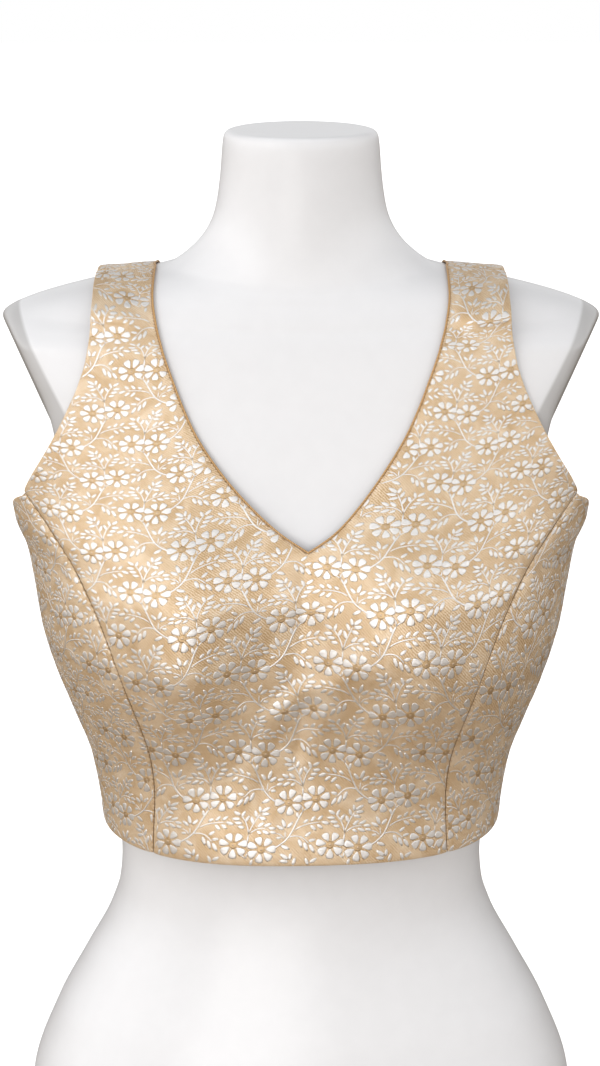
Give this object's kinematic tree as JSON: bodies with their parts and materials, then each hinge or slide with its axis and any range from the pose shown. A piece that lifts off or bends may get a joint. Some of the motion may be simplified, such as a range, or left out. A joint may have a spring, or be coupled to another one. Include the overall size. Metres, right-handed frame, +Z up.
{
  "type": "choli blouse on a dress form",
  "caption": "Short sleeveless fitted blouse in gold brocade with a deep V neck and princess seams, worn by a glossy white limbless dress form.",
  "frame": {"origin": "middle of the dress form's flat base, straight below its neck", "axes": "+Z up along the body to the neck, the blouse's front faces -Y, the wearer's left side is towards +X"},
  "size_m": [0.3806, 0.2589, 0.72],
  "materials": {
    "brocade": "satin brocade, gold ground with pale silver flowers",
    "facing_edge": "turned satin edge",
    "form_shell": "gloss white"
  },
  "bodies": {
    "root": {"front_center": "brocade", "side_front_left": "brocade", "side_front_right": "brocade", "back_left": "brocade", "back_right": "brocade", "neck_edge_front": "facing_edge", "neck_edge_back_left": "facing_edge", "neck_edge_back_right": "facing_edge", "dress_form": "form_shell"}
  },
  "joints": []
}
